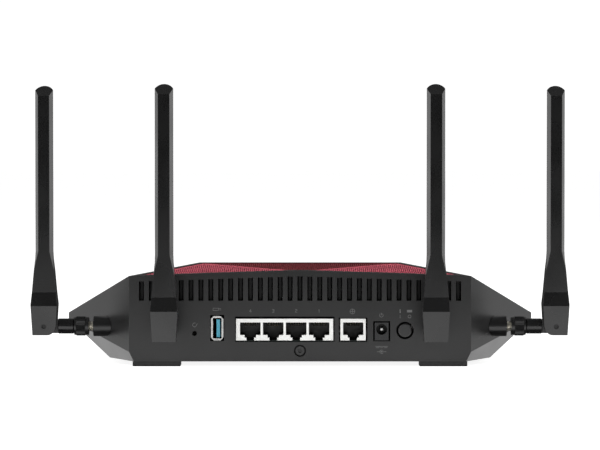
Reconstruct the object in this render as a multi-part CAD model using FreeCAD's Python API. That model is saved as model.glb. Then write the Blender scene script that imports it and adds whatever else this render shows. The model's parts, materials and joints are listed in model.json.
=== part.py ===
"""Desktop wireless router: faceted housing, rear socket panel, four folding antennas.

Millimetres. While the pieces are built, x = 0 is the symmetry plane, y = 0 is the outer
face of the rear panel, +y points to the front edge and z = 0 is the table.  On export
everything moves back by REAR_SHIFT, so the origin is the middle of the footprint.
"""
import FreeCAD
import Part
import math
import os

from FreeCAD import Vector

# Housing, driving points as (half width, depth, height)
BODY_DEPTH = 200.0
REAR_TOP = Vector(105.1, 0, 55.8)
APEX = Vector(0, 0, 59.2)
RIDGE = Vector(63.7, 60, 61.7)
REAR_LOW = Vector(105.1, 0, 9.1)
REAR_BOTTOM = Vector(102.2, 0, 3.2)
WING_TOP = Vector(147.5, 69, 29.4)
WING_LOW = Vector(147.5, 69, 25.1)
SIDE_CORNER = Vector(118, 140, 12)
FRONT_CORNER = Vector(70, 185, 8.5)
NOSE_TOP = Vector(48, BODY_DEPTH, 18)
NOSE_LOW = Vector(48, BODY_DEPTH, 10)
FLOOR_REAR = Vector(119, 33.6, 3.2)
FLOOR_SIDE = Vector(112, 128, 3.2)
FLOOR_FRONT = Vector(62, 172, 3.2)
FLOOR_NOSE = Vector(0, 182, 3.2)
MIDDLE = Vector(0, 90, 15)
WALL = 2.4
PANEL = 2.5
FLOOR_Z = REAR_BOTTOM.z
SEAM_Z = 4.4
FAR = 500.0

# Top openings, plan outlines of the right-hand half or of the whole
REAR_GRILLE = [(-98.4, 4), (98.4, 4), (61.5, 57.5), (-61.5, 57.5)]
CONSOLE = [(-60.5, 63), (60.5, 63), (45.5, 196), (-45.5, 196)]
FRONT_GRILLE = [(69.5, 66), (112, 70.5), (92, 150), (53.5, 190)]
GRILLE_INSET = 0.5
GRILLE_THICK = 1.2
LEDGE = 1.5
GAP = 0.15

# Rear panel
SLOTS = 33
SLOT_PITCH = 6.085
SLOT_WIDTH = 3.1
SLOT_LOW = 40.6
SLOT_MARGIN = 3.6
LAN_X = (-39.3, 20.4)
LAN_PORTS = 4
PORT_PITCH = 14.1
FIRST_PORT = -30.55
WAN_X = (24.8, 40.4)
WAN_PORT = 32.7
PORT_Z = (16.1, 29.5)
PORT_FRONT = 0.4
PORT_DEPTH = 21.0
USB = (-50.9, 23.65)
USB_TONGUE_FRONT = 0.7
USB_TONGUE_SIDE = 1.7
JACK = (50.2, 22.95)
POWER = (64.5, 22.3)
RESET = (-64.8, 20.5)
PLUG = (0.0, 9.8)
PLUG_RECESS = 2.0

# Board
BOARD_Z = (14.5, 16.1)
BOARD_X = 92.0
BOARD_Y = (3.2, 140.0)
STANDOFFS = [(82, 12), (82, 130)]
FLOOR_VENTS = 10
FLOOR_VENT_PITCH = 6
FLOOR_VENT_ROWS = [(60, 92), (98, 130)]
POSTS = [(98, 52), (106, 116)]
POST_TOPS = (47.0, 24.5)
SCREW_HEAD_R = 2.8
SCREW_R = 1.4
TAPPED_R = 1.45

# Console, a slope measured along it from the ridge
CONSOLE_TILT = math.degrees(math.atan2(RIDGE.z - NOSE_TOP.z, BODY_DEPTH - RIDGE.y))
CONSOLE_DROP = 0.4
LED_COUNT = 8
LED_PITCH = 9.0
LED_ROW = 84.0
BUTTON_ROW = 106.0
CONSOLE_BUTTONS = {"wps_button": -16.0, "wifi_button": 16.0}
LED_BOARD_TOP = -8.0

# Antennas; the connector axis is measured outwards from the collar's end
AXIS_Z = 23.4
INNER_X = 81.8
OUTER_Y = 26.1
COLLAR_END_INNER = -4.0
COLLAR_END_OUTER = 128.7
PIVOT = 30.4
COLLAR_R = 6.35
STUB_R = 4.8
WING_SEAT = (112, 126)
WING_SEAT_R = 7.5
JACK_R = 3.17
THREAD_PITCH = 0.8
NUT = (2.8, 11.8)
NUT_R = 6.0
NUT_TEETH = 36
BARREL_R = 4.76
BARREL_END = 22.0
TONGUE = 5.0
TONGUE_R = 4.3
SLOT = 5.3
PIN_R = 1.5
PIN_COVER = 0.85
BLADE_TOP = 173.0
BLADE_SIDE = 170.2
BLADE_TIP = 166.6
BLADE_BOTTOM = 18.0
SHAFT_HALF = 5.6
FACE_HALF = 3.5
CHAMFER_Z = (61.0, 70.0)
FLARE_TOP = 65.5
FLARE_LOW = 37.2
FLARE_HALF = 8.2
FOOT_HALF = 7.1
NECK_Z = 44.7
BAND_Z = 36.2
BLOCK_HALF = 8.3
BLOCK_FOOT = 7.0
HEEL_R = 5.2
ELEMENT_TOP = 161.4

ANTENNA_BACK = -COLLAR_END_INNER + PIVOT + BLOCK_HALF
REAR_SHIFT = (ANTENNA_BACK - BODY_DEPTH) / 2
UP = Vector(0, 0, 1)


# Helpers

def box(x0, x1, y0, y1, z0, z1):
    return Part.makeBox(x1 - x0, y1 - y0, z1 - z0, Vector(x0, y0, z0))


def rod(centre, axis, radius, start, end):
    """Cylinder about the line through centre, between two distances along the axis."""
    direction = Vector(axis)
    return Part.makeCylinder(radius, end - start, Vector(*centre) + direction * start, direction)


def rear_rod(place, radius, start, end):
    """Cylinder square to the rear panel at (x, z), between two depths."""
    return rod((place[0], 0, place[1]), (0, 1, 0), radius, start, end)


def prism(points, sweep):
    wire = Part.makePolygon([*points, points[0]])
    return Part.Face(wire).extrude(sweep)


def plan_prism(outline, inset=0.0):
    """Tall vertical solid over a plan outline, its edge moved inwards by inset."""
    points = [Vector(x, y, 0) for x, y in outline]
    face = Part.Face(Part.makePolygon([*points, points[0]]))
    if inset:
        face = face.makeOffset2D(-inset, 2)
    return face.extrude(UP * 90)


def flipped(shape):
    """The same shape on the other side of the symmetry plane."""
    return shape.mirror(Vector(0, 0, 0), Vector(1, 0, 0))


def both_sides(shapes):
    return [*shapes, *[flipped(shape) for shape in shapes]]


def fused(shapes):
    return shapes[0].multiFuse(shapes[1:]).removeSplitter()


def hexagon(across, height):
    """Hexagonal prism on the z axis, from z = 0."""
    corner = across / math.sqrt(3)
    points = [Vector(corner * math.cos(a), corner * math.sin(a), 0)
              for a in (math.radians(60 * k) for k in range(6))]
    return prism(points, UP * height)


# Housing planes

def facet(a, b, c):
    """Plane through three points as a point and the normal that leaves the housing."""
    normal = (b - a).cross(c - a).normalize()
    if normal.dot(MIDDLE - a) > 0:
        normal = normal * -1
    return a, normal


def mirror_point(p):
    return Vector(-p.x, p.y, p.z)


def two_facets(a, b, c):
    return [facet(a, b, c), facet(*[mirror_point(p) for p in (a, b, c)])]


def top_planes():
    """Rear slopes, centre triangle, wing tops, console slope and front slopes."""
    ridge_left = mirror_point(RIDGE)
    nose = Vector(0, BODY_DEPTH, NOSE_TOP.z)
    return [*two_facets(REAR_TOP, APEX, RIDGE), facet(APEX, RIDGE, ridge_left),
            *two_facets(REAR_TOP, RIDGE, WING_TOP), facet(RIDGE, ridge_left, nose),
            *two_facets(RIDGE, NOSE_TOP, WING_TOP)]


def belt_planes():
    """Upright facets round the edge, without the rear."""
    planes = [facet(NOSE_TOP, mirror_point(NOSE_TOP), NOSE_LOW)]
    for a, b in ((REAR_LOW, WING_TOP), (WING_TOP, SIDE_CORNER),
                 (SIDE_CORNER, FRONT_CORNER), (FRONT_CORNER, NOSE_TOP)):
        planes += two_facets(a, b, b + UP)
    return planes


def under_planes():
    """Floor and the undercut facets that rise from it to the wings and nose."""
    return [(Vector(0, 0, FLOOR_Z), UP * -1),
            *two_facets(REAR_LOW, REAR_BOTTOM, WING_LOW),
            *two_facets(FLOOR_REAR, WING_LOW, FLOOR_SIDE),
            *two_facets(FLOOR_SIDE, FLOOR_FRONT, FRONT_CORNER),
            facet(NOSE_LOW, mirror_point(NOSE_LOW), FLOOR_NOSE)]


def trimmed(planes, inset=0.0):
    """Block cut by planes that have all moved inwards by inset."""
    solid = box(-160, 160, 0, BODY_DEPTH + 20, -10, 90)
    for point, normal in planes:
        solid = solid.cut(Part.makeCylinder(FAR, FAR, point - normal * inset, normal))
    return solid


TOP = top_planes()
BELT = belt_planes()
UNDER = under_planes()
OUTER = trimmed(TOP + BELT + UNDER)
CAVITY = trimmed(TOP + BELT + UNDER, WALL)
UPPER = trimmed(UNDER, WALL)


def skin(outline, outer, inner, inset=0.0):
    """Plate that follows the housing's top between two insets, inside a plan outline."""
    plate = trimmed(TOP, outer).cut(trimmed(TOP, inner))
    return plate.common(plan_prism(outline, inset))


def front_outline(side):
    return [(side * x, y) for x, y in FRONT_GRILLE]


# Housing pieces

def rear_panel():
    panel = OUTER.common(box(-120, 120, 0, PANEL, SEAM_Z, 90))
    cuts = [box(-39.9, 21.2, -1, 5, 15.3, 30.8), box(23.9, 41.4, -1, 5, 15.3, 30.1),
            box(-55.2, -46.6, -1, 5, 15.8, 31.8), box(45.0, 55.4, -1, 5, 15.7, 28.0),
            rear_rod(POWER, 5.35, -1, 5),
            rear_rod(RESET, 1.5, -1, 5),
            rear_rod(PLUG, 3.7, -1, PLUG_RECESS), rear_rod(PLUG, 1.6, 0, 5)]
    for k in range(SLOTS):
        x = (k - (SLOTS - 1) / 2) * SLOT_PITCH
        top = APEX.z - (APEX.z - REAR_TOP.z) * abs(x) / REAR_TOP.x - SLOT_MARGIN
        half = SLOT_WIDTH / 2
        cuts.append(box(x - half, x + half, -1, 5, SLOT_LOW, top))
    for side in (-1, 1):
        cuts.append(rear_rod((side * INNER_X, AXIS_Z), STUB_R + 0.05, -1, 5))
    return panel.cut(Part.makeCompound(cuts))


def wing_bosses():
    """Thick seats in the wings behind the sideways antenna sockets."""
    bosses = [rod((0, OUTER_Y, AXIS_Z), (side, 0, 0), WING_SEAT_R, *WING_SEAT) for side in (-1, 1)]
    return [boss.common(OUTER) for boss in bosses]


def top_shell():
    shell = OUTER.common(UPPER).cut(CAVITY).cut(box(-200, 200, -1, PANEL, 0, 90))
    inner = trimmed(TOP, GRILLE_INSET + GRILLE_THICK)
    bosses = wing_bosses()
    for (x, y), top in zip(POSTS, POST_TOPS):
        for side in (-1, 1):
            bosses.append(rod((side * x, y, 0), UP, 3.6, FLOOR_Z + WALL, top + 3)
                          .common(trimmed(TOP, 1.0)))
    shell = fused([shell, *bosses])
    for outline in (REAR_GRILLE, CONSOLE, front_outline(1), front_outline(-1)):
        shell = shell.cut(plan_prism(outline).cut(inner))
        shell = shell.cut(plan_prism(outline, LEDGE).cut(trimmed(TOP, WALL + 0.5)))
    holes = []
    for side in (-1, 1):
        holes.append(rod((0, OUTER_Y, AXIS_Z), (side, 0, 0), STUB_R + 0.05, 100, 130))
        for x, y in POSTS:
            holes.append(rod((side * x, y, 0), UP, TAPPED_R, 0, 17.5))
    return shell.cut(Part.makeCompound(holes))


def bottom_shell():
    shell = OUTER.cut(UPPER)
    shell = shell.cut(box(-120, 120, -1, PANEL, SEAM_Z, 90))
    columns = [box(-5, 5, PANEL + 0.1, 9.5, FLOOR_Z + WALL - 0.2, 13.2)]
    for x, y in STANDOFFS:
        for side in (-1, 1):
            columns.append(rod((side * x, y, 0), UP, 3.0, FLOOR_Z + WALL - 0.2, BOARD_Z[0]))
    shell = fused([shell, *columns])
    cuts = [rear_rod(PLUG, 1.55, 0, 8.2), *feet_solids(), *wing_bosses()]
    for side in (-1, 1):
        for x, y in STANDOFFS:
            cuts.append(rod((side * x, y, 0), UP, TAPPED_R, 6.6, 20))
        for x, y in POSTS:
            cuts.append(rod((side * x, y, 0), UP, 1.7, 0, 10))
            cuts.append(rod((side * x, y, 0), UP, SCREW_HEAD_R + 0.2, 0, FLOOR_Z + 1.5))
        for k in range(FLOOR_VENTS):
            x = side * (k + 1) * FLOOR_VENT_PITCH
            for start, end in FLOOR_VENT_ROWS:
                cuts.append(box(x - 1.5, x + 1.5, start, end, 0, 8))
    return shell.cut(Part.makeCompound(cuts))


def feet_solids():
    """Rubber pads let into the floor; the rear pair shows under the panel."""
    pads = [box(73.5, 103.0, 2.0, 15, 0, FLOOR_Z + 0.6), box(40, 69.5, 141, 154, 0, FLOOR_Z + 0.6)]
    pads = [pad.makeChamfer(0.3, [edge for edge in pad.Edges if edge.BoundBox.ZMax < 0.1])
            for pad in pads]
    return both_sides(pads)


def housing_screws():
    screws = []
    for x, y in POSTS:
        head = rod((x, y, 0), UP, SCREW_HEAD_R, FLOOR_Z + 0.1, FLOOR_Z + 1.5)
        socket = hexagon(2.5, 0.9).translated(Vector(x, y, FLOOR_Z))
        shank = rod((x, y, 0), UP, SCREW_R, FLOOR_Z + 1.5, 16)
        screws.append(head.fuse(shank).cut(socket))
    return both_sides(screws)


def board_screws():
    screws = []
    for x, y in STANDOFFS:
        head = rod((x, y, 0), UP, 2.4, BOARD_Z[1], BOARD_Z[1] + 1.6)
        socket = hexagon(2.0, 2).translated(Vector(x, y, BOARD_Z[1] + 0.8))
        shank = rod((x, y, 0), UP, SCREW_R, 8, BOARD_Z[1])
        screws.append(head.fuse(shank).cut(socket))
    return both_sides(screws)


def rear_screw_plug():
    head = rear_rod(PLUG, 2.8, 0.15, PLUG_RECESS)
    dimple = rear_rod(PLUG, 1.2, 0, 1.4)
    shank = rear_rod(PLUG, 1.5, PLUG_RECESS, 8.0)
    return head.fuse(shank).cut(dimple)


# Console pieces, built flat (x across, y along the slope, z out of it) and then tilted

def on_console(shape):
    tilted = shape.copy()
    tilted.rotate(Vector(0, 0, 0), Vector(1, 0, 0), -CONSOLE_TILT)
    tilted.translate(Vector(0, RIDGE.y, RIDGE.z))
    return tilted


def led_places():
    return [(k - (LED_COUNT - 1) / 2) * LED_PITCH for k in range(LED_COUNT)]


def pill(x, y, length, width, low, high):
    """Flat bar with round ends, lying along x."""
    half = (length - width) / 2
    bar = box(x - half, x + half, y - width / 2, y + width / 2, low, high)
    ends = [rod((x + end * half, y, 0), UP, width / 2, low, high) for end in (-1, 1)]
    return fused([bar, *ends])


def front_console():
    plate = skin(CONSOLE, CONSOLE_DROP, CONSOLE_DROP + 1.3, GAP)
    holes = [pill(x, LED_ROW, 5.2, 1.6, -4, 2) for x in led_places()]
    holes += [pill(x, BUTTON_ROW, 14.5, 5.5, -4, 2) for x in CONSOLE_BUTTONS.values()]
    return plate.cut(on_console(Part.makeCompound(holes)))


def led_light_pipes():
    return [on_console(pill(x, LED_ROW, 5.1, 1.5, LED_BOARD_TOP + 0.9, -CONSOLE_DROP))
            for x in led_places()]


def led_board():
    board = box(-40, 40, 70, 124, LED_BOARD_TOP - 1.6, LED_BOARD_TOP)
    return on_console(board)


def leds():
    return [on_console(box(x - 0.8, x + 0.8, LED_ROW - 0.5, LED_ROW + 0.5, LED_BOARD_TOP,
                           LED_BOARD_TOP + 0.7)) for x in led_places()]


def console_switches():
    switches = []
    for x in CONSOLE_BUTTONS.values():
        body = box(x - 3, x + 3, BUTTON_ROW - 3, BUTTON_ROW + 3, LED_BOARD_TOP, LED_BOARD_TOP + 2.6)
        dome = rod((x, BUTTON_ROW, 0), UP, 1.7, LED_BOARD_TOP + 2.6, LED_BOARD_TOP + 3.2)
        switches.append(on_console(body.fuse(dome)))
    return switches


def console_button(x):
    """Pill cap that stands a little proud, with a stem over its switch."""
    cap = pill(x, BUTTON_ROW, 14.0, 5.0, -1.9, 0.5)
    rim = [edge for edge in cap.Edges if edge.BoundBox.ZMin > 0.4]
    cap = cap.makeChamfer(0.4, rim)
    stem = rod((x, BUTTON_ROW, 0), UP, 1.5, -4.1, -1.9)
    return on_console(cap.fuse(stem))


# Board and what stands on it

def main_board():
    board = box(-BOARD_X, BOARD_X, *BOARD_Y, *BOARD_Z)
    holes = [rod((side * x, y, 0), UP, 1.6, 10, 20) for x, y in STANDOFFS for side in (-1, 1)]
    return board.cut(Part.makeCompound(holes))


def heat_sink():
    base = box(-34, 34, 40, 92, 18.6, 21.0)
    fins = [box(x - 0.7, x + 0.7, 40, 92, 20.5, 38) for x in range(-32, 33, 8)]
    return fused([base, *fins])


def board_chips():
    top = BOARD_Z[1]
    chips = [box(-9, 9, 50, 68, top, 18.6), box(14, 26, 52, 64, top, 18.6),
             box(-26, -14, 52, 64, top, 18.6)]
    chips += [box(x - 5, x + 5, 24.5, 34, top, top + 4.5) for x in (-30, -16, -2, 12, 33)]
    chips += [box(x - 4, x + 4, 100, 111, top, top + 1.2) for x in (-24, -8, 8, 24)]
    chips += [rod((x, 30, 0), UP, 3.2, top, top + 9) for x in (50, 58, 66)]
    return chips


def rf_shield_cans():
    cans = []
    for x in (-66, 66):
        can = box(x - 17, x + 17, 60, 96, BOARD_Z[1], BOARD_Z[1] + 3.6)
        inside = box(x - 16.6, x + 16.6, 60.4, 95.6, BOARD_Z[1] - 1, BOARD_Z[1] + 3.2)
        cans.append(can.cut(inside))
    return cans


def port_hollow(x, half):
    """Socket hollow: plug space, then the step and keyway for the plug's latch."""
    back = PORT_FRONT + 15
    step = half - 2.8
    key = half - 3.95
    return fused([box(x - half, x + half, -1, back, 19.5, 27.2),
                  box(x - step, x + step, -1, back, 17.9, 19.6),
                  box(x - key, x + key, -1, back, 15.0, 18.0)])


def port_block(span, places, half):
    block = box(*span, PORT_FRONT, PORT_FRONT + PORT_DEPTH, *PORT_Z)
    return block.cut(Part.makeCompound([port_hollow(x, half) for x in places]))


def lan_places():
    return [FIRST_PORT + k * PORT_PITCH for k in range(LAN_PORTS)]


def port_contacts():
    """Sprung wires that slope down from the roof of each socket, then the USB strips."""
    wires = []
    for x in (*lan_places(), WAN_PORT):
        for k in range(8):
            left = x + (k - 3.5) * 1.02 - 0.22
            side = [Vector(left, 3.4, 27.2), Vector(left, 11.6, 24.3), Vector(left, 12.2, 24.6),
                    Vector(left, 12.2, 24.95), Vector(left, 4.6, 27.2)]
            wires.append(prism(side, Vector(0.44, 0, 0)))
    for k in range(4):
        z = USB[1] + (k - 1.5) * 2.4
        side = USB[0] + USB_TONGUE_SIDE
        wires.append(box(side, side + 0.15, USB_TONGUE_FRONT + 0.9, 10.8, z - 0.5, z + 0.5))
    return wires


def cut_corner_box(width, height, corner, y0, y1):
    """Eight-sided frame blank about the USB centre."""
    x, z = USB
    w, h = width / 2, height / 2
    corners = [(-w, -h + corner), (-w, h - corner), (-w + corner, h), (w - corner, h),
               (w, h - corner), (w, -h + corner), (w - corner, -h), (-w + corner, -h)]
    return prism([Vector(x + a, y0, z + b) for a, b in corners], Vector(0, y1 - y0, 0))


def usb_port_shell():
    x, z = USB
    body = box(x - 2.9, x + 2.9, 0.9, 14.5, z - 6.55, z + 6.55)
    lip = cut_corner_box(7.6, 15.1, 1.8, 0.2, 1.0)
    legs = [box(x - 2.9, x + 2.9, y, y + 1.5, PORT_Z[0], z - 6.4) for y in (5, 12)]
    mouth = cut_corner_box(5.8, 13.4, 1.2, -1, 0.85)
    hollow = box(x - 2.6, x + 2.6, -1, 14.2, z - 6.25, z + 6.25)
    return fused([body, lip, *legs]).cut(mouth).cut(hollow)


def usb_port_tongue():
    x, z = USB
    tongue = box(x - 0.4, x + USB_TONGUE_SIDE, USB_TONGUE_FRONT, 11.4, z - 5.45, z + 5.45)
    root = box(x - 2.6, x + 2.6, 11.2, 14.2, z - 6.25, z + 6.25)
    return fused([tongue, root])


def power_jack_body():
    x, z = JACK
    body = box(x - 4.25, x + 4.25, 0.4, 14.5, BOARD_Z[1], z + 4.2)
    return body.cut(rear_rod(JACK, 3.3, 0, 10.5))


def power_jack_pin():
    pin = rear_rod(JACK, 1.0, 1.4, 10.5)
    return pin.makeFillet(0.5, [edge for edge in pin.Edges if edge.BoundBox.YMax < 1.5])


def power_button():
    cap = rear_rod(POWER, 4.15, -0.3, 7.0)
    cap = cap.makeFillet(0.6, [edge for edge in cap.Edges if edge.BoundBox.YMax < 0])
    return cap.fuse(rear_rod(POWER, 2.0, 7.0, 13.5))


def power_switch():
    x, z = POWER
    body = box(x - 4, x + 4, 10.5, 22, BOARD_Z[1], z + 3.6)
    return body.cut(rear_rod(POWER, 2.06, 9, 17))


def reset_button():
    return rear_rod(RESET, 1.0, PANEL + 1.3, 7.2)


def reset_switch():
    x, z = RESET
    body = box(x - 3, x + 3, 5.4, 9.4, BOARD_Z[1], z + 3)
    return body.cut(rear_rod(RESET, 1.06, 5, 8.4))


# Antennas.  Each is built with its connector along -y at the origin height, then placed.

def inner_place(shape, side):
    """Connector out of the rear panel."""
    return shape.translated(Vector(side * INNER_X, COLLAR_END_INNER, AXIS_Z))


def outer_place(shape, side):
    """Connector out of the wing, turned to point sideways."""
    turned = shape.copy()
    turned.rotate(Vector(0, 0, 0), UP, 90 * side)
    return turned.translated(Vector(side * COLLAR_END_OUTER, OUTER_Y, AXIS_Z))


def outward(radius, start, end):
    """Cylinder along the connector, between two distances from the collar's end."""
    return rod((0, 0, 0), (0, -1, 0), radius, start, end)


def connector_sites():
    return [(inner_place, -1), (inner_place, 1), (outer_place, -1), (outer_place, 1)]


def antenna_collars():
    collars = []
    for place, side in connector_sites():
        depth = 4.0 if place is inner_place else 13.5
        ring = place(outward(COLLAR_R, -depth, 0), side).cut(OUTER)
        reach = depth + PANEL if place is inner_place else 14.7
        collar = fused([ring, place(outward(STUB_R, -reach, -0.5), side)])
        collar = collar.cut(place(outward(JACK_R, -30, 1), side))
        collars.append(max(collar.Solids, key=lambda solid: solid.Volume))
    return collars


def jack_solid(tail):
    """Threaded tube with a hollow mouth, its thread as rings."""
    outline = [Vector(0, tail, 0), Vector(JACK_R, tail, 0), Vector(JACK_R, 0, 0)]
    rings = int(8 / THREAD_PITCH)
    for k in range(rings):
        y = -0.2 - k * THREAD_PITCH
        outline += [Vector(JACK_R - 0.35, y - 0.25 * THREAD_PITCH, 0),
                    Vector(JACK_R, y - 0.6 * THREAD_PITCH, 0)]
    outline += [Vector(JACK_R - 0.4, -8.3, 0), Vector(2.3, -8.3, 0), Vector(2.3, -3, 0),
                Vector(0, -3, 0)]
    face = Part.Face(Part.makePolygon([*outline, outline[0]]))
    return face.revolve(Vector(0, 0, 0), Vector(0, 1, 0), 360)


def jack_tail(place):
    return 14.0 if place is inner_place else 20.5


def antenna_jacks():
    return [place(jack_solid(jack_tail(place)), side) for place, side in connector_sites()]


def antenna_jack_nuts():
    nuts = []
    for place, side in connector_sites():
        start = 6.6 if place is inner_place else 16.9
        blank = hexagon(8.0, 2.4)
        blank.rotate(Vector(0, 0, 0), Vector(1, 0, 0), -90)
        nut = blank.translated(Vector(0, start, 0)).cut(outward(JACK_R, -40, 0))
        nuts.append(place(nut, side))
    return nuts


def lead(points, radius, bend):
    """Round cable along straight runs with tangent arcs of one radius."""
    edges = []
    start = points[0]
    for before, corner, after in zip(points, points[1:], points[2:]):
        back = (before - corner).normalize()
        ahead = (after - corner).normalize()
        half = back.getAngle(ahead) / 2
        reach = bend / math.tan(half)
        a = corner + back * reach
        b = corner + ahead * reach
        middle = corner + (back + ahead).normalize() * (bend / math.sin(half) - bend)
        edges += [Part.LineSegment(start, a).toShape(), Part.Arc(a, middle, b).toShape()]
        start = b
    edges.append(Part.LineSegment(start, points[-1]).toShape())
    circle = Part.Wire(Part.makeCircle(radius, points[0], points[1] - points[0]))
    return Part.Wire(edges).makePipeShell([circle], True, True)


def antenna_leads():
    """Coaxial leads from the four sockets to the two radio modules on the board."""
    inner_tail = COLLAR_END_INNER + jack_tail(inner_place)
    outer_tail = COLLAR_END_OUTER - jack_tail(outer_place)
    low = BOARD_Z[1]
    inner = [Vector(INNER_X, inner_tail, AXIS_Z), Vector(INNER_X, 40, AXIS_Z),
             Vector(74, 55, 23), Vector(74, 55, low)]
    outer = [Vector(outer_tail, OUTER_Y, AXIS_Z), Vector(90, OUTER_Y, AXIS_Z),
             Vector(86, 56, AXIS_Z), Vector(86, 56, low)]
    return both_sides([lead(inner, 0.9, 4.0), lead(outer, 0.9, 3.0)])


def nut():
    """Knurled coupling nut: threaded bore, chamber for the barrel's flange, back lip."""
    teeth = []
    for k in range(NUT_TEETH * 2):
        radius = NUT_R if k % 2 else NUT_R - 0.35
        angle = math.pi * k / NUT_TEETH
        teeth.append(Vector(radius * math.cos(angle), 0, radius * math.sin(angle)))
    body = prism(teeth, Vector(0, NUT[0] - NUT[1], 0)).translated(Vector(0, -NUT[0], 0))
    waist = outward(NUT_R - 0.45, *NUT).fuse(outward(NUT_R + 1, NUT[0] + 2.2, NUT[1] - 1.2))
    body = body.common(waist)
    bores = [outward(JACK_R + 0.1, NUT[0] - 1, 9), outward(4.3, 8.5, 10.2),
             outward(3.6, 10, NUT[1] + 1)]
    return body.cut(Part.makeCompound(bores))


def barrel():
    """Swivel barrel: captive flange, neck, body and the flat tongue of the elbow."""
    pieces = [outward(4.2, 8.7, 10.0), outward(3.5, 9.5, 12.2)]
    body = outward(BARREL_R, 12.0, BARREL_END)
    body = body.makeChamfer(0.5, [edge for edge in body.Edges if edge.Length > 20])
    tongue = box(-TONGUE / 2, TONGUE / 2, -PIVOT, 1 - BARREL_END, -TONGUE_R, TONGUE_R)
    knuckle = rod((0, -PIVOT, 0), (1, 0, 0), TONGUE_R, -TONGUE / 2, TONGUE / 2)
    solid = fused([*pieces, body, tongue, knuckle])
    return solid.cut(rod((0, -PIVOT, 0), (1, 0, 0), PIN_R + 0.05, -10, 10))


def hinge_pin():
    return rod((0, -PIVOT, 0), (1, 0, 0), PIN_R, PIN_COVER + 0.05 - FOOT_HALF, FOOT_HALF - PIN_COVER - 0.05)


def blade_blank():
    """Closed blade about the pivot: six-sided shaft, flared neck, stepped foot, cut tip."""
    low = BLADE_BOTTOM - AXIS_Z
    shaft = [Vector(FACE_HALF, -SHAFT_HALF, 25), Vector(SHAFT_HALF, 0, 25),
             Vector(FACE_HALF, SHAFT_HALF, 25), Vector(-FACE_HALF, SHAFT_HALF, 25),
             Vector(-SHAFT_HALF, 0, 25), Vector(-FACE_HALF, -SHAFT_HALF, 25)]
    shaft = prism(shaft, UP * (BLADE_TOP - AXIS_Z - 25))
    end, start = (z - AXIS_Z for z in CHAMFER_Z)
    front = [(FOOT_HALF, low), (FLARE_HALF, FLARE_LOW - AXIS_Z), (SHAFT_HALF, FLARE_TOP - AXIS_Z),
             (SHAFT_HALF, start)]
    front = [Vector(x, -20, z) for x, z in front] + [Vector(-x, -20, z) for x, z in front[::-1]]
    side = [(BLOCK_FOOT, low), (BLOCK_HALF, BAND_Z - AXIS_Z), (SHAFT_HALF, NECK_Z - AXIS_Z),
            (SHAFT_HALF, start)]
    side = [Vector(-20, y, z) for y, z in side] + [Vector(-20, -y, z) for y, z in side[::-1]]
    neck = prism(front, Vector(0, 40, 0)).common(prism(side, Vector(40, 0, 0)))
    for sx in (-1, 1):
        for sy in (-1, 1):
            a = Vector(sx * FACE_HALF, sy * SHAFT_HALF, start)
            b = Vector(sx * SHAFT_HALF, sy * SHAFT_HALF, end)
            c = Vector(sx * SHAFT_HALF, 0, start)
            normal = (b - a).cross(c - a).normalize()
            if normal.z < 0:
                normal = normal * -1
            neck = neck.cut(Part.makeCylinder(FAR, FAR, b, normal))
    blade = fused([shaft, neck])
    tip = Vector(0, -SHAFT_HALF, BLADE_TIP - AXIS_Z)
    slope = Vector(0, BLADE_TIP - BLADE_SIDE, SHAFT_HALF).normalize()
    blade = blade.cut(Part.makeCylinder(FAR, FAR, tip, slope))
    rise = BLADE_TOP - BLADE_SIDE
    crown = (SHAFT_HALF ** 2 + rise ** 2) / (2 * rise)
    centre = BLADE_TOP - AXIS_Z - crown
    below = box(-20, 20, -20, 20, -20, centre)
    return blade.common(fused([below, rod((0, 0, centre), (0, 1, 0), crown, -20, 20)]))


def antenna_pieces(turned):
    """Fork, blade cover and radiating element, about the pivot.

    The connector arrives from +y, or from -x for a sideways one.  The fork is the foot
    up to the band; the blade is the long cover above it.
    """
    blank = blade_blank()
    split = BAND_Z - AXIS_Z
    fork = blank.common(box(-20, 20, -20, 20, -20, split))
    blade = blank.cut(box(-20, 20, -20, 20, -20, split))
    depth = FOOT_HALF if turned else BLOCK_FOOT
    low = BLADE_BOTTOM - AXIS_Z
    corner = box(-20, 20, depth - HEEL_R, 20, low - 1, low + HEEL_R)
    corner = corner.cut(rod((0, depth - HEEL_R, low + HEEL_R), (1, 0, 0), HEEL_R, -20, 20))
    slot = fused([box(-SLOT / 2, SLOT / 2, 0, 20, -20, TONGUE_R + 0.3),
                  box(-SLOT / 2, SLOT / 2, -TONGUE_R - 0.3, 1, -20, 0.5),
                  rod((0, 0, 0), (1, 0, 0), TONGUE_R + 0.3, -SLOT / 2, SLOT / 2)])
    ear = rod((0, 0, 0), (1, 0, 0), PIN_R, -20, FOOT_HALF - PIN_COVER)
    tools = [slot, corner, ear]
    if turned:
        for tool in tools:
            tool.rotate(Vector(0, 0, 0), UP, 90)
    for tool in tools:
        fork = fork.cut(tool)
    top = ELEMENT_TOP - AXIS_Z
    channel = box(-2.1, 2.1, -1.1, 1.1, split, top + 3)
    element = [box(-2.0, 2.0, -0.4, 0.4, split + 4, top), rod((0, 0, 0), UP, 0.9, split, split + 4.2)]
    return {"fork": fork, "blade": blade.cut(channel), "element": fused(element)}


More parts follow.
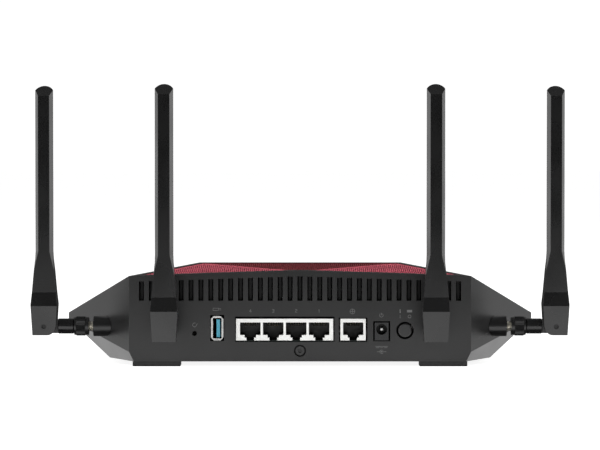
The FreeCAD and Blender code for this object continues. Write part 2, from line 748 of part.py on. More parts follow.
def antenna_nodes():
    """Six named pieces for each of the four antennas."""
    nodes = {}
    for label, place, side in (("inner_left", inner_place, -1), ("inner_right", inner_place, 1),
                               ("outer_left", outer_place, -1), ("outer_right", outer_place, 1)):
        sideways = place is outer_place
        nodes[label + "_nut"] = place(nut(), side)
        nodes[label + "_barrel"] = place(barrel(), side)
        nodes[label + "_hinge_pin"] = place(hinge_pin(), side)
        if sideways:
            pivot = Vector(side * (COLLAR_END_OUTER + PIVOT), OUTER_Y, AXIS_Z)
        else:
            pivot = Vector(side * INNER_X, COLLAR_END_INNER - PIVOT, AXIS_Z)
        for name, piece in antenna_pieces(sideways).items():
            upright = flipped(piece) if sideways and side < 0 else piece
            nodes[label + "_" + name] = upright.translated(pivot)
    return nodes


def all_nodes():
    nodes = {
        "rear_panel": rear_panel(), "top_shell": top_shell(), "bottom_shell": bottom_shell(),
        "rear_grille": skin(REAR_GRILLE, GRILLE_INSET, GRILLE_INSET + GRILLE_THICK, GAP),
        "feet": feet_solids(), "housing_screws": housing_screws(),
        "rear_screw_plug": rear_screw_plug(), "front_console": front_console(),
        "led_light_pipes": led_light_pipes(), "led_board": led_board(), "leds": leds(),
        "console_switches": console_switches(), "main_board": main_board(),
        "board_screws": board_screws(), "heat_sink": heat_sink(), "board_chips": board_chips(),
        "rf_shield_cans": rf_shield_cans(),
        "lan_port_block": port_block(LAN_X, lan_places(), 6.3),
        "wan_port_block": port_block(WAN_X, [WAN_PORT], 6.2),
        "port_contacts": port_contacts(), "usb_port_shell": usb_port_shell(),
        "usb_port_tongue": usb_port_tongue(), "power_jack_body": power_jack_body(),
        "power_jack_pin": power_jack_pin(), "power_button": power_button(),
        "power_switch": power_switch(), "reset_button": reset_button(),
        "reset_switch": reset_switch(), "antenna_collars": antenna_collars(),
        "antenna_jacks": antenna_jacks(), "antenna_jack_nuts": antenna_jack_nuts(),
        "antenna_leads": antenna_leads(), **antenna_nodes(),
    }
    for label, side in (("left", -1), ("right", 1)):
        nodes["front_grille_" + label] = skin(front_outline(side), GRILLE_INSET,
                                              GRILLE_INSET + GRILLE_THICK, GAP)
    for name, x in CONSOLE_BUTTONS.items():
        nodes[name] = console_button(x)
    return nodes


def export(name, shape):
    """Write one node, its solids only, moved so that the footprint's middle is the origin."""
    pieces = shape if isinstance(shape, list) else [shape]
    solids = [solid for piece in pieces for solid in piece.Solids]
    body = solids[0] if len(solids) == 1 else Part.makeCompound(solids)
    moved = body.translated(Vector(0, REAR_SHIFT, 0))
    moved.exportStep(os.path.join("parts", name + ".step"))
    print(f"{name}: {len(solids)} solids, {moved.Volume:.0f} mm3, valid {moved.isValid()}")


os.makedirs("parts", exist_ok=True)
for node, geometry in all_nodes().items():
    export(node, geometry)
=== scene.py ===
"""Looks of the desktop wireless router: camera, studio, materials and fine detail."""
import json
import math

import bmesh
import bpy
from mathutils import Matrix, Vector


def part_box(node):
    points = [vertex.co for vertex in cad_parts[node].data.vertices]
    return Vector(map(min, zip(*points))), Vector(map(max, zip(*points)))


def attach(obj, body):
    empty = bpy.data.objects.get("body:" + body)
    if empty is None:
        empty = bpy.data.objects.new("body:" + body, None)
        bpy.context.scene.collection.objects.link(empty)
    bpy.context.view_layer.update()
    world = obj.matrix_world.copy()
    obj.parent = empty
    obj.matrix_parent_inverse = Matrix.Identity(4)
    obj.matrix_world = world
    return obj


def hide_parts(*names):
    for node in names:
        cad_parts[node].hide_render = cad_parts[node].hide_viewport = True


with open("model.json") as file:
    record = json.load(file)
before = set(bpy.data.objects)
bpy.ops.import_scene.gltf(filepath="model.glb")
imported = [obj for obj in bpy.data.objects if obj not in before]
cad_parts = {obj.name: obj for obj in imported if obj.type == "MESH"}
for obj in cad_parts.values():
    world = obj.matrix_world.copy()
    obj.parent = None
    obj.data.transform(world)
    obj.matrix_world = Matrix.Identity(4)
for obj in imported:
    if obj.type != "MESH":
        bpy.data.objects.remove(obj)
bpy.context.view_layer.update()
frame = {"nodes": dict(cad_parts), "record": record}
nodes = frame["nodes"]

MM = 0.001
REAR_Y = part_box("rear_panel")[0].y
ANTENNAS = ("inner_left", "inner_right", "outer_left", "outer_right")

# Camera: square on to the rear panel, a long lens a little above the housing
CAMERA_DISTANCE = 1.8
CAMERA_HEIGHT = 0.13865
CAMERA_PITCH = math.radians(1.64)
CAMERA_LENS = 176.04


def new_object(name, bm):
    """Linked object from a bmesh, which is freed."""
    mesh = bpy.data.meshes.new(name)
    bm.to_mesh(mesh)
    bm.free()
    obj = bpy.data.objects.new(name, mesh)
    bpy.context.scene.collection.objects.link(obj)
    return obj


def make_camera():
    data = bpy.data.cameras.new("camera")
    data.lens = CAMERA_LENS
    data.sensor_width = 36
    data.clip_end = 50
    camera = bpy.data.objects.new("camera", data)
    camera.location = (0, REAR_Y - CAMERA_DISTANCE, CAMERA_HEIGHT)
    camera.rotation_euler = (math.pi / 2 - CAMERA_PITCH, 0, 0)
    bpy.context.scene.collection.objects.link(camera)
    bpy.context.scene.camera = camera


# Studio: white backdrop and table.  Reflections see bright cards at both sides behind the
# object, a dark gap between them straight behind it, and a dark room behind the camera.

CARD = 1.5
FRONT_HORIZON = 0.02
FRONT_SKY = 0.16
BACKDROP = 1.05
# Lamps on both sides: name, place of the right-hand one, height aimed at, size, energy
LAMPS = (("front_side", (1.5, -1.25, 0.3), 0.04, 1.0, 8.5),
         ("top_side", (1.2, 0.1, 1.1), 0.05, 1.4, 17))
TABLE_REACH = 12.0
TABLE_STRIP = 0.62


class Graph:
    """Node tree with short calls for the nodes used here."""

    def __init__(self, tree):
        self.tree = tree

    def node(self, kind, **values):
        node = self.tree.nodes.new("ShaderNode" + kind)
        for key, value in values.items():
            node.inputs[key.replace("_", " ")].default_value = value
        return node

    def link(self, output, target):
        self.tree.links.new(output, target)

    def map(self, value, start, end, low, high, smooth=False):
        node = self.node("MapRange")
        node.interpolation_type = "SMOOTHSTEP" if smooth else "LINEAR"
        for key, number in (("From Min", start), ("From Max", end), ("To Min", low), ("To Max", high)):
            node.inputs[key].default_value = number
        self.link(value, node.inputs["Value"])
        return node.outputs["Result"]

    def math(self, operation, a, b):
        node = self.tree.nodes.new("ShaderNodeMath")
        node.operation = operation
        for socket, value in zip(node.inputs, (a, b)):
            if isinstance(value, (int, float)):
                socket.default_value = value
            else:
                self.link(value, socket)
        return node.outputs[0]


def make_world():
    """Light by direction, with a plain white backdrop for what the camera sees directly."""
    world = bpy.data.worlds.new("studio")
    bpy.context.scene.world = world
    world.use_nodes = True
    world.node_tree.nodes.clear()
    g = Graph(world.node_tree)
    coords = g.node("TexCoord")
    split = g.node("SeparateXYZ")
    g.link(coords.outputs["Generated"], split.inputs[0])
    across, ahead, up = split.outputs
    sideways = g.math("ABSOLUTE", across, 0)
    behind = g.map(ahead, -0.1, 0.4, 0.03, 1.0, True)
    card = g.math("MULTIPLY", g.map(sideways, 0.45, 0.70, 0.03, CARD, True),
                  g.map(sideways, 0.73, 0.86, 1.0, 0.3))
    upper = g.math("MULTIPLY", card, g.map(up, 0.0, 0.9, 1.0, 0.2))
    lower = g.math("MULTIPLY", g.map(sideways, 0.15, 0.5, 0.0, 0.75, True),
                   g.map(up, -0.05, -0.25, 0.0, 1.0))
    cards = g.math("MULTIPLY", g.math("ADD", upper, lower), behind)
    glow = g.map(up, 0.0, 0.4, FRONT_HORIZON, FRONT_SKY)
    light = g.node("Background", Color=(1, 1, 1, 1))
    g.link(g.math("ADD", cards, glow), light.inputs["Strength"])
    backdrop = g.node("Background", Color=(1, 1, 1, 1), Strength=BACKDROP)
    path = g.node("LightPath")
    mix = g.node("MixShader")
    out = g.node("OutputWorld")
    g.link(path.outputs["Is Camera Ray"], mix.inputs[0])
    g.link(light.outputs[0], mix.inputs[1])
    g.link(backdrop.outputs[0], mix.inputs[2])
    g.link(mix.outputs[0], out.inputs["Surface"])


def area_light(name, location, target, size, energy):
    """Square soft light that faces the target; size in metres, energy in watts."""
    data = bpy.data.lights.new(name, "AREA")
    data.size = size
    data.energy = energy
    lamp = bpy.data.objects.new(name, data)
    lamp.location = location
    lamp.rotation_euler = (Vector(target) - Vector(location)).to_track_quat("-Z", "Y").to_euler()
    bpy.context.scene.collection.objects.link(lamp)


def make_studio():
    make_world()
    for side in (-1, 1):
        for name, (across, back, up), aim_height, size, energy in LAMPS:
            area_light(f"{name}_{side}", (side * across, back, up), (0, 0, aim_height), size, energy)
    bpy.context.scene.view_settings.view_transform = "Standard"


# Materials

class Shader(Graph):
    """A Principled material with short calls for its texture nodes."""

    def __init__(self, name, colour, roughness, metallic=0.0):
        self.material = bpy.data.materials.new(name)
        self.material.use_nodes = True
        super().__init__(self.material.node_tree)
        self.shader = self.tree.nodes["Principled BSDF"]
        self.shader.inputs["Base Color"].default_value = (*colour, 1)
        self.shader.inputs["Roughness"].default_value = roughness
        self.shader.inputs["Metallic"].default_value = metallic
        self.coords = self.node("TexCoord")

    def noise(self, size_mm, detail=3.0, stretch=(1, 1, 1)):
        """Noise with features of about size_mm, in the piece's own coordinates."""
        mapping = self.node("Mapping", Scale=stretch)
        texture = self.node("TexNoise", Scale=1 / (size_mm * MM), Detail=detail)
        self.link(self.coords.outputs["Object"], mapping.inputs["Vector"])
        self.link(mapping.outputs[0], texture.inputs["Vector"])
        return self.map(texture.outputs["Fac"], 0.3, 0.7, 0, 1)

    def depth(self):
        """Distance from front to back in the piece's own coordinates."""
        split = self.node("SeparateXYZ")
        self.link(self.coords.outputs["Object"], split.inputs[0])
        return split.outputs["Y"]

    def blend(self, factor, dark, light):
        node = self.tree.nodes.new("ShaderNodeMix")
        node.data_type = "RGBA"
        for socket, value in ((node.inputs[6], dark), (node.inputs[7], light)):
            if isinstance(value, tuple):
                socket.default_value = (*value, 1)
            else:
                self.link(value, socket)
        self.link(factor, node.inputs[0])
        return node.outputs[2]

    def tint(self, factor, dark, light):
        self.link(self.blend(factor, dark, light), self.shader.inputs["Base Color"])

    def rough(self, value, low, high):
        self.link(self.map(value, 0, 1, low, high), self.shader.inputs["Roughness"])

    def bump(self, height, strength, depth_mm):
        node = self.node("Bump", Strength=strength, Distance=depth_mm * MM)
        self.link(height, node.inputs["Height"])
        if self.shader.inputs["Normal"].is_linked:
            self.link(self.shader.inputs["Normal"].links[0].from_socket, node.inputs["Normal"])
        self.link(node.outputs[0], self.shader.inputs["Normal"])


def shade(colour, factor):
    return tuple(c * factor for c in colour)


def textured_plastic(name, colour, roughness, grain_mm=0.6, grain=0.25, specular=0.5):
    """Moulded plastic: spark-eroded grain, faint cloudiness and handling marks."""
    s = Shader(name, colour, roughness)
    s.shader.inputs["Specular IOR Level"].default_value = specular
    s.tint(s.noise(28, 2), shade(colour, 0.86), shade(colour, 1.14))
    s.rough(s.noise(18, 0), roughness - 0.02, roughness + 0.03)
    s.bump(s.noise(grain_mm, 2), grain, 0.008)
    return s.material


def metal(name, colour, roughness, stretch=(1, 1, 1)):
    """Plated or bare metal with fine drawn lines and slight tarnish."""
    s = Shader(name, colour, roughness, 1.0)
    s.tint(s.noise(3.5, 4), shade(colour, 0.8), colour)
    s.rough(s.noise(0.5, 3, stretch), roughness - 0.06, roughness + 0.08)
    s.bump(s.noise(0.4, 2, stretch), 0.15, 0.02)
    return s.material


def red_paint(name, colour):
    """Matt red powder coat on the perforated sheet."""
    s = Shader(name, colour, 0.6)
    s.shader.inputs["Specular IOR Level"].default_value = 0.08
    s.tint(s.noise(16, 3), shade(colour, 0.85), shade(colour, 1.12))
    s.rough(s.noise(0.6, 3), 0.55, 0.68)
    s.bump(s.noise(0.45, 2), 0.2, 0.02)
    return s.material


def port_plastic():
    """Network socket block: pale face, dark inside the sockets."""
    pale, dark = (0.86, 0.86, 0.84), (0.006, 0.006, 0.006)
    s = Shader("port_plastic", pale, 0.42)
    face = s.blend(s.noise(6, 3), shade(pale, 0.93), pale)
    inside = s.map(s.depth(), REAR_Y + 0.75 * MM, REAR_Y + 0.95 * MM, 0, 1)
    s.tint(inside, face, dark)
    s.rough(s.noise(2, 3), 0.38, 0.5)
    s.bump(s.noise(0.5, 2), 0.15, 0.02)
    return s.material


def rubber():
    colour = (0.014, 0.014, 0.014)
    s = Shader("rubber", colour, 0.7)
    s.tint(s.noise(2.0, 5), shade(colour, 0.75), shade(colour, 1.5))
    s.bump(s.noise(0.5, 4), 0.5, 0.05)
    return s.material


def solder_mask():
    """Very dark green board: copper traces show as raised lines under the mask."""
    colour = (0.004, 0.016, 0.010)
    s = Shader("solder_mask", colour, 0.3)
    traces = s.map(s.noise(1.6, 1, (1, 0.15, 1)), 0.45, 0.55, 0, 1)
    s.tint(traces, shade(colour, 0.6), colour)
    s.bump(traces, 0.3, 0.03)
    return s.material


def light_pipe():
    s = Shader("light_pipe", (0.8, 0.82, 0.84), 0.25)
    s.shader.inputs["Transmission Weight"].default_value = 0.6
    s.rough(s.noise(0.6, 2), 0.18, 0.32)
    s.bump(s.noise(0.3, 2), 0.2, 0.02)
    return s.material


def ink():
    """Pad-printed marks, a worn light grey."""
    s = Shader("ink", (0.13, 0.13, 0.13), 0.6)
    s.tint(s.noise(0.5, 3), (0.10, 0.10, 0.10), (0.16, 0.16, 0.16))
    s.bump(s.noise(0.3, 2), 0.2, 0.01)
    return s.material


def table_top():
    """White table that glows softly, so that only a faint shadow shows, most of all by the rear panel:
    the glow is painted light, brightest in a band in front of the rear panel that lights the panel from
    below and shows in its reflections, dimmed close to the panel as a painted shadow, and dimmed behind
    it.
    """
    s = Shader("table_top", (0.5, 0.5, 0.5), 0.8)
    s.shader.inputs["Specular IOR Level"].default_value = 0.1
    s.shader.inputs["Emission Color"].default_value = (1, 1, 1, 1)
    bright = s.map(s.depth(), REAR_Y - 0.30, REAR_Y - 0.16, 1.0, 1.5)
    # Painted shadow: the glow is dimmed close to the rear panel.
    painted_shadow_close = s.map(s.depth(), REAR_Y - 0.12, REAR_Y - 0.03, 0.0, 0.35)
    behind = s.map(s.depth(), REAR_Y, REAR_Y + 0.01, 0.0, 0.27)
    dimmer = s.math("ADD", painted_shadow_close, behind)
    s.link(s.math("SUBTRACT", bright, dimmer), s.shader.inputs["Emission Strength"])
    s.bump(s.noise(2, 4), 0.05, 0.05)
    return s.material


RED = (0.51, 0.092, 0.129)
# A darker copy of the red for the facet square to the rear: painted shade.
RED_PAINTED_SHADE = (0.16, 0.019, 0.025)


def make_materials():
    black = (0.0065, 0.0065, 0.0066)
    deep = (0.0045, 0.0045, 0.0046)
    return {
        "housing": textured_plastic("housing_plastic", black, 0.30),
        "antenna": textured_plastic("antenna_plastic", deep, 0.26, 0.5, 0.2),
        "antenna_nut": textured_plastic("nut_plastic", deep, 0.34),
        "collar": textured_plastic("collar_plastic", deep, 0.30),
        "button": textured_plastic("button_plastic", (0.014, 0.014, 0.014), 0.34),
        "screen": textured_plastic("screen_plastic", (0.010, 0.010, 0.010), 0.5, specular=0.2),
        "component": textured_plastic("component_epoxy", (0.010, 0.010, 0.011), 0.45),
        "port_frame": port_plastic(),
        "usb_blue": textured_plastic("usb_plastic", (0.06, 0.34, 0.46), 0.4),
        "cable": textured_plastic("cable_jacket", (0.012, 0.012, 0.012), 0.45),
        "led": textured_plastic("led_resin", (0.8, 0.8, 0.74), 0.3),
        "light_pipe": light_pipe(),
        "red_mesh": red_paint("red_paint", RED),
        "red_painted_shade": red_paint("red_paint_centre_painted_shade", RED_PAINTED_SHADE),
        # Plain black for the reset button and the plug seal; on the red sheet's undersides and hole walls
        # it is painted shade.
        "plain_black_and_painted_shade": textured_plastic("plain_black_and_sheet_painted_shade", (0.006, 0.006, 0.006), 0.6, specular=0.15),
        "rubber": rubber(),
        "board": solder_mask(),
        "aluminium": metal("extruded_aluminium", (0.5, 0.5, 0.51), 0.38, (1, 0.1, 1)),
        "tinned_steel": metal("tin_plate", (0.62, 0.62, 0.61), 0.42),
        "screw_steel": metal("zinc_plate", (0.5, 0.5, 0.5), 0.35),
        "dark_steel": metal("blackened_steel", (0.05, 0.05, 0.05), 0.45),
        "gold_plate": metal("gold_flash", (0.86, 0.72, 0.44), 0.3),
        "nickel": metal("nickel_plate", (0.95, 0.92, 0.84), 0.5),
        "copper": metal("copper_strip", (0.72, 0.4, 0.28), 0.35),
        "ink": ink(),
        "table": table_top(),
    }


def paint(obj, material):
    obj.data.materials.clear()
    obj.data.materials.append(material)


def paint_nodes():
    for part in frame["record"]["subparts"]:
        paint(nodes[part["node"]], MATERIALS[part["material_slot"]])
    paint(nodes["antenna_jacks"], MATERIALS["nickel"])
    paint(nodes["reset_button"], MATERIALS["plain_black_and_painted_shade"])
    for antenna in ANTENNAS:
        paint(nodes[antenna + "_hinge_pin"], MATERIALS["dark_steel"])


# Edges: the moulded and turned parts get small rounded edges, their widths in millimetres

WELD = 0.01 * MM
FLAT_ANGLE = math.radians(0.5)
BEVEL_ANGLE = math.radians(25)
BLADE_BEVEL = 0.25
FORK_BEVEL = 0.3
BEVELS = {
    "rear_panel": 0.15, "top_shell": 0.45, "bottom_shell": 0.35, "front_console": 0.2,
    "feet": 0.15, "lan_port_block": 0.12, "wan_port_block": 0.12, "power_jack_body": 0.15,
    "usb_port_shell": 0.08, "usb_port_tongue": 0.12, "wps_button": 0.15, "wifi_button": 0.15,
    "heat_sink": 0.15, "antenna_collars": 0.3, "antenna_jack_nuts": 0.15,
    "rf_shield_cans": 0.2, "main_board": 0.1, "board_chips": 0.12, "rear_screw_plug": 0.12,
}


def soften(name, width):
    """Round a node's sharp edges: weld its facets, join the flat ones, then bevel."""
    obj = nodes[name]
    weld = obj.modifiers.new("weld", "WELD")
    weld.merge_threshold = WELD
    flat = obj.modifiers.new("flat", "DECIMATE")
    flat.decimate_type = "DISSOLVE"
    flat.angle_limit = FLAT_ANGLE
    bevel = obj.modifiers.new("bevel", "BEVEL")
    bevel.width = width * MM
    bevel.segments = 2
    bevel.limit_method = "ANGLE"
    bevel.angle_limit = BEVEL_ANGLE
    bevel.harden_normals = True
    bevel.use_clamp_overlap = True
    even = obj.modifiers.new("even", "WEIGHTED_NORMAL")
    even.keep_sharp = True


def soften_edges():
    for name, width in BEVELS.items():
        soften(name, width)
    for antenna in ANTENNAS:
        soften(antenna + "_blade", BLADE_BEVEL)
        soften(antenna + "_fork", FORK_BEVEL)


# Perforated grilles

HOLE_PITCH = (1.25 * MM, 2.5 * MM)
HOLE_HALF = (0.37 * MM, 0.9 * MM)
CORNER_ROUNDING = 0.78
SHEET = 0.7 * MM
RIM = 1.6 * MM
UPWARD = 0.5
SQUARE_TO_REAR = 0.005


def top_facets(node):
    """Flat upward facets of a CAD node, the highest of each slope, as (normal, outline loop)."""
    bm = bmesh.new()
    bm.from_mesh(nodes[node].data)
    bmesh.ops.remove_doubles(bm, verts=bm.verts, dist=WELD)
    bmesh.ops.dissolve_limit(bm, angle_limit=FLAT_ANGLE, verts=bm.verts, edges=bm.edges)
    top = {}
    for face in bm.faces:
        slope = tuple(round(c, 3) for c in face.normal)
        height = face.calc_center_median().z
        if face.normal.z > UPWARD and (slope not in top or height > top[slope][0]):
            top[slope] = (height, face.normal.copy(), [v.co.copy() for v in face.verts])
    bm.free()
    return [(normal, loop) for height, normal, loop in top.values()]


def clip(polygon, edge_point, inward):
    """Part of a flat polygon on the inner side of a line."""
    kept = []
    for a, b in zip(polygon, polygon[1:] + polygon[:1]):
        da, db = (a - edge_point).dot(inward), (b - edge_point).dot(inward)
        if da >= 0:
            kept.append(a)
        if (da >= 0) != (db >= 0):
            kept.append(a + (b - a) * (da / (da - db)))
    return kept


def outline_edges(loop):
    """Each outline edge as a point and its inward direction, in the facet's 2-D frame."""
    turn = sum(a.x * b.y - a.y * b.x for a, b in zip(loop, loop[1:] + loop[:1]))
    edges = []
    for a, b in zip(loop, loop[1:] + loop[:1]):
        along = (b - a).normalized()
        inward = Vector((-along.y, along.x)) * (1 if turn > 0 else -1)
        edges.append((a, inward))
    return edges


def ring_cell(bm, place, centre, half, hole):
    """One rectangular cell with an eight-sided hole."""
    turns = ((1, 0), (1, 1), (0, 1), (-1, 1), (-1, 0), (-1, -1), (0, -1), (1, -1))
    outer = [place(centre + Vector((half[0] * x, half[1] * y))) for x, y in turns]
    inner = []
    for x, y in turns:
        round_off = CORNER_ROUNDING if x and y else 1.0
        inner.append(place(centre + Vector((hole[0] * x, hole[1] * y)) * round_off))
    for k in range(len(turns)):
        n = (k + 1) % len(turns)
        bm.faces.new((outer[k], outer[n], inner[n], inner[k]))


def perforate(bm, normal, loop):
    """Cells over one facet: a ring round each hole inside the rim, plain elsewhere."""
    across = Vector((1, 0, 0))
    across = (across - normal * across.dot(normal)).normalized()
    along = normal.cross(across)
    origin = Vector((0, 0, loop[0].dot(normal) / normal.z))
    flat = [Vector(((p - origin).dot(across), (p - origin).dot(along))) for p in loop]
    edges = outline_edges(flat)
    half = (HOLE_PITCH[0] / 2, HOLE_PITCH[1] / 2)
    low = [math.floor(min(p[k] for p in flat) / HOLE_PITCH[k]) for k in (0, 1)]
    high = [math.ceil(max(p[k] for p in flat) / HOLE_PITCH[k]) for k in (0, 1)]
    corners = [Vector((half[0] * x, half[1] * y)) for x, y in ((1, 1), (-1, 1), (-1, -1), (1, -1))]

    def place(p):
        return bm.verts.new(origin + across * p.x + along * p.y)

    for i in range(low[0] - 1, high[0] + 1):
        for j in range(low[1] - 1, high[1] + 1):
            centre = Vector(((i + 0.5) * HOLE_PITCH[0], (j + 0.5) * HOLE_PITCH[1]))
            depth = min((centre - a).dot(inward) for a, inward in edges)
            if depth > RIM + half[1]:
                ring_cell(bm, place, centre, half, HOLE_HALF)
            elif depth > -HOLE_PITCH[1]:
                cell = [centre + c for c in corners]
                for a, inward in edges:
                    if cell:
                        cell = clip(cell, a, inward)
                if len(cell) > 2:
                    bm.faces.new([place(p) for p in cell])


def make_grille(node):
    """Perforated sheet on a grille's facets.

    The facet square to the rear is painted a darker red, a painted shade; undersides and hole walls are
    painted black, a painted shade in place of the red coat.
    """
    bm = bmesh.new()
    for normal, loop in top_facets(node):
        start = len(bm.faces)
        perforate(bm, normal, loop)
        bm.faces.ensure_lookup_table()
        # The facet square to the rear takes the darker red: painted shade.
        if abs(normal.x) < SQUARE_TO_REAR:
            for face in bm.faces[start:]:
                face.material_index = 1
    for face in bm.faces:
        face.normal_update()
        if face.normal.z < 0:
            face.normal_flip()
    bmesh.ops.remove_doubles(bm, verts=bm.verts, dist=WELD)
    grille = new_object(node + "_sheet", bm)
    for name in ("red_mesh", "red_painted_shade", "plain_black_and_painted_shade", "plain_black_and_painted_shade"):
        grille.data.materials.append(MATERIALS[name])
    solid = grille.modifiers.new("sheet", "SOLIDIFY")
    solid.thickness = SHEET
    solid.offset = -1
    # Undersides and hole walls take the black: painted shade.
    solid.material_offset = 2
    solid.material_offset_rim = 2
    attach(grille, "housing")
    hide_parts(node)


# Slats behind the vent slots of the rear panel, in millimetres from the panel's middle

PIECE_BEVEL = 0.08
SLATS = 33
SLAT_PITCH = 6.085
SLAT_BACK = 3.2
SLAT_LOW = 39.0
SLAT_TOP = 55.8
SLAT_SLOPE = 0.0325
SLAT_RAILS = (SLAT_LOW + 1, 47.5)
SLAT_SECTION = [(-1.15, 0.35), (-0.8, 0.0), (0.8, 0.0), (1.15, 0.35), (1.15, 1.1), (-1.15, 1.1)]
RAIL_SECTION = [(1.1, -0.9), (1.8, -0.9), (1.8, 0.9), (1.1, 0.9)]


def finish_piece(bm, name, material):
    """Turn closed solids into a piece with softened edges that rides on the housing."""
    bmesh.ops.recalc_face_normals(bm, faces=bm.faces)
    piece = new_object(name, bm)
    edges = piece.modifiers.new("edges", "BEVEL")
    edges.width = PIECE_BEVEL * MM
    edges.segments = 2
    paint(piece, MATERIALS[material])
    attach(piece, "housing")


def add_bar(bm, section, start, end):
    """Prism between two ends; section points are offsets in the plane across it."""
    rings = [[bm.verts.new(Vector(end_point) + p) for p in section] for end_point in (start, end)]
    bm.faces.new(rings[0])
    bm.faces.new(rings[1][::-1])
    for k in range(len(section)):
        n = (k + 1) % len(section)
        bm.faces.new((rings[0][k], rings[1][k], rings[1][n], rings[0][n]))


def make_vent_slats():
    """A louvre blade stands behind each slot; two rails behind the blades join them."""
    bm = bmesh.new()
    back = REAR_Y + SLAT_BACK * MM
    blade = [Vector((x * MM, y * MM, 0)) for x, y in SLAT_SECTION]
    for k in range(SLATS):
        x = (k - (SLATS - 1) / 2) * SLAT_PITCH
        top = SLAT_TOP - SLAT_SLOPE * abs(x)
        add_bar(bm, blade, (x * MM, back, SLAT_LOW * MM), (x * MM, back, top * MM))
    rail = [Vector((0, y * MM, z * MM)) for y, z in RAIL_SECTION]
    reach = (SLATS - 1) / 2 * SLAT_PITCH + 1
    for z in SLAT_RAILS:
        add_bar(bm, rail, (-reach * MM, back, z * MM), (reach * MM, back, z * MM))
    finish_piece(bm, "vent_slats", "screen")


# Rubber ring in the groove round the screw plug: radii and depths in millimetres

SEAL_SECTION = [(2.9, 0.8), (3.6, 0.8), (3.6, 1.8), (2.9, 1.8)]
SEAL_SIDES = 64


def make_plug_seal():
    low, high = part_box("rear_screw_plug")
    centre = (low + high) / 2
    bm = bmesh.new()
    rings = []
    for k in range(SEAL_SIDES):
        angle = math.tau * k / SEAL_SIDES
        across, up = math.cos(angle) * MM, math.sin(angle) * MM
        rings.append([bm.verts.new((centre.x + r * across, REAR_Y + d * MM, centre.z + r * up))
                      for r, d in SEAL_SECTION])
    for k in range(SEAL_SIDES):
        here, ahead = rings[k - 1], rings[k]
        for i in range(len(SEAL_SECTION)):
            bm.faces.new((here[i - 1], here[i], ahead[i], ahead[i - 1]))
    finish_piece(bm, "plug_seal", "plain_black_and_painted_shade")


# Printed marks on the rear panel, in millimetres across and up from the panel's middle

MARK_RISE = 0.03
MARK_THICKNESS = 0.027
MARK_LINE = 0.28
DOT_SIDES = 12
ARC_STEP = 15


class Marks:
    """Flat raised ink shapes gathered in one mesh."""

    def __init__(self):
        self.bm = bmesh.new()

    def patch(self, points):
        verts = [self.bm.verts.new((x * MM, REAR_Y - MARK_RISE * MM, z * MM)) for x, z in points]
        self.bm.faces.new(verts)

    def bar(self, x0, z0, x1, z1, width=MARK_LINE):
        along = Vector((x1 - x0, z1 - z0)).normalized() * (width / 2)
        side = Vector((-along.y, along.x))
        ends = [Vector((x0, z0)) - along, Vector((x1, z1)) + along]
        self.patch([ends[0] + side, ends[1] + side, ends[1] - side, ends[0] - side])

    def arc(self, x, z, radius, start=0, end=360, width=MARK_LINE):
        steps = int((end - start) / ARC_STEP)
        angles = [math.radians(start + (end - start) * k / steps) for k in range(steps + 1)]
        for a, b in zip(angles, angles[1:]):
            ring = [(radius - width / 2, a), (radius + width / 2, a),
                    (radius + width / 2, b), (radius - width / 2, b)]
            self.patch([(x + r * math.cos(t), z + r * math.sin(t)) for r, t in ring])

    def dot(self, x, z, radius):
        angles = [math.tau * k / DOT_SIDES for k in range(DOT_SIDES)]
        self.patch([(x + radius * math.cos(a), z + radius * math.sin(a)) for a in angles])

    def strokes(self, x, z, lines, width=MARK_LINE):
        """Bars between points given from (x, z)."""
        for x0, z0, x1, z1 in lines:
            self.bar(x + x0, z + z0, x + x1, z + z1, width)


DIGITS = {
    "1": [(-0.4, 0.5, 0, 0.9), (0, 0.9, 0, -0.9)],
    "2": [(-0.5, 0.9, 0.5, 0.9), (0.5, 0.9, 0.5, 0), (0.5, 0, -0.5, 0), (-0.5, 0, -0.5, -0.9),
          (-0.5, -0.9, 0.5, -0.9)],
    "3": [(-0.5, 0.9, 0.5, 0.9), (0.5, 0.9, 0.5, -0.9), (0.5, 0, -0.3, 0), (-0.5, -0.9, 0.5, -0.9)],
    "4": [(0.3, 0.9, -0.55, -0.3), (-0.55, -0.3, 0.6, -0.3), (0.3, 0.9, 0.3, -0.9)],
}
LAN_FIRST = (-30.55, 34.3)
LAN_PITCH = 14.1
RESET_MARK = (-64.8, 25.7)
STORAGE_MARK = (-51.2, 35.3)
GLOBE_MARK = (32.2, 34.0)
INPUT_MARK = (50.0, 31.6)
ON_MARK = (61.5, 30.9)
OFF_MARK = (67.3, 30.9)
POLARITY_MARK = (50.2, 9.2)
CURRENT_MARK = (50.2, 12.1)


def mark_sockets(marks):
    """Numbers over the four sockets, a plug over the storage socket and a globe."""
    for k, digit in enumerate("4321"):
        marks.strokes(LAN_FIRST[0] + k * LAN_PITCH, LAN_FIRST[1], DIGITS[digit])
    marks.strokes(*STORAGE_MARK, [(-2.2, 0.7, 1.2, 0.7), (-2.2, -0.7, 1.2, -0.7),
                                  (-2.2, -0.7, -2.2, 0.7), (1.2, -0.7, 1.2, 0.7),
                                  (1.6, 0.4, 2.6, 0.4), (1.6, -0.4, 2.6, -0.4)])
    marks.arc(*GLOBE_MARK, 1.5)
    marks.strokes(*GLOBE_MARK, [(-1.5, 0, 1.5, 0), (0, -1.5, 0, 1.5)])


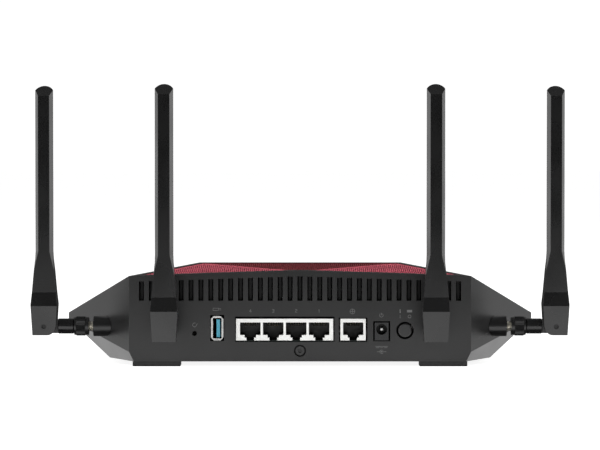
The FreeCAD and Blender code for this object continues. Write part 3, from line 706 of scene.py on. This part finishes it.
def mark_controls(marks):
    """Round arrow for reset; bar and ring, with a dash and a block above, for the power button."""
    marks.arc(*RESET_MARK, 1.2, 60, 360)
    marks.strokes(*RESET_MARK, [(1.2, 0, 1.7, 0.8)])
    marks.strokes(*ON_MARK, [(0, -0.9, 0, 0.9)])
    marks.arc(*OFF_MARK, 0.9)
    marks.strokes(*ON_MARK, [(0, 2.4, 0, 4.1)], 0.6)
    marks.strokes(*OFF_MARK, [(-0.8, 3.3, 0.8, 3.3)], 1.5)


def mark_power(marks):
    """Power sign above the power socket; direct current and polarity below it."""
    marks.arc(*INPUT_MARK, 1.1, 125, 415)
    marks.strokes(*INPUT_MARK, [(0, 0.2, 0, 1.4)])
    marks.arc(*POLARITY_MARK, 1.1, 40, 320)
    marks.dot(*POLARITY_MARK, 0.45)
    marks.strokes(*POLARITY_MARK, [(0.4, 0, 2.7, 0), (-2.7, 0, -1.2, 0)])
    dashes = [(start, -0.4, start + 1.6, -0.4) for start in (-3.3, -0.8, 1.7)]
    marks.strokes(*CURRENT_MARK, [(-3.7, 0.4, 3.7, 0.4)] + dashes)


def make_marks():
    marks = Marks()
    mark_sockets(marks)
    mark_controls(marks)
    mark_power(marks)
    obj = new_object("rear_marks", marks.bm)
    thick = obj.modifiers.new("thick", "SOLIDIFY")
    thick.thickness = MARK_THICKNESS * MM
    thick.offset = 0
    paint(obj, MATERIALS["ink"])
    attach(obj, "housing")


def make_floor():
    """White table; only the strip in front of the rear panel shows in reflections."""
    strip = REAR_Y - TABLE_STRIP
    for name, start, end in (("table_near", strip, REAR_Y), ("table_front", -TABLE_REACH, strip),
                             ("table_back", REAR_Y, TABLE_REACH)):
        bm = bmesh.new()
        bm.faces.new([bm.verts.new((x * TABLE_REACH, y, 0))
                      for x, y in ((-1, start), (1, start), (1, end), (-1, end))])
        table = new_object(name, bm)
        paint(table, MATERIALS["table"])
        table.visible_glossy = name == "table_near"


MATERIALS = make_materials()
make_camera()
make_studio()
make_floor()
paint_nodes()
soften_edges()
for grille_node in ("rear_grille", "front_grille_left", "front_grille_right"):
    make_grille(grille_node)
make_vent_slats()
make_plug_seal()
make_marks()
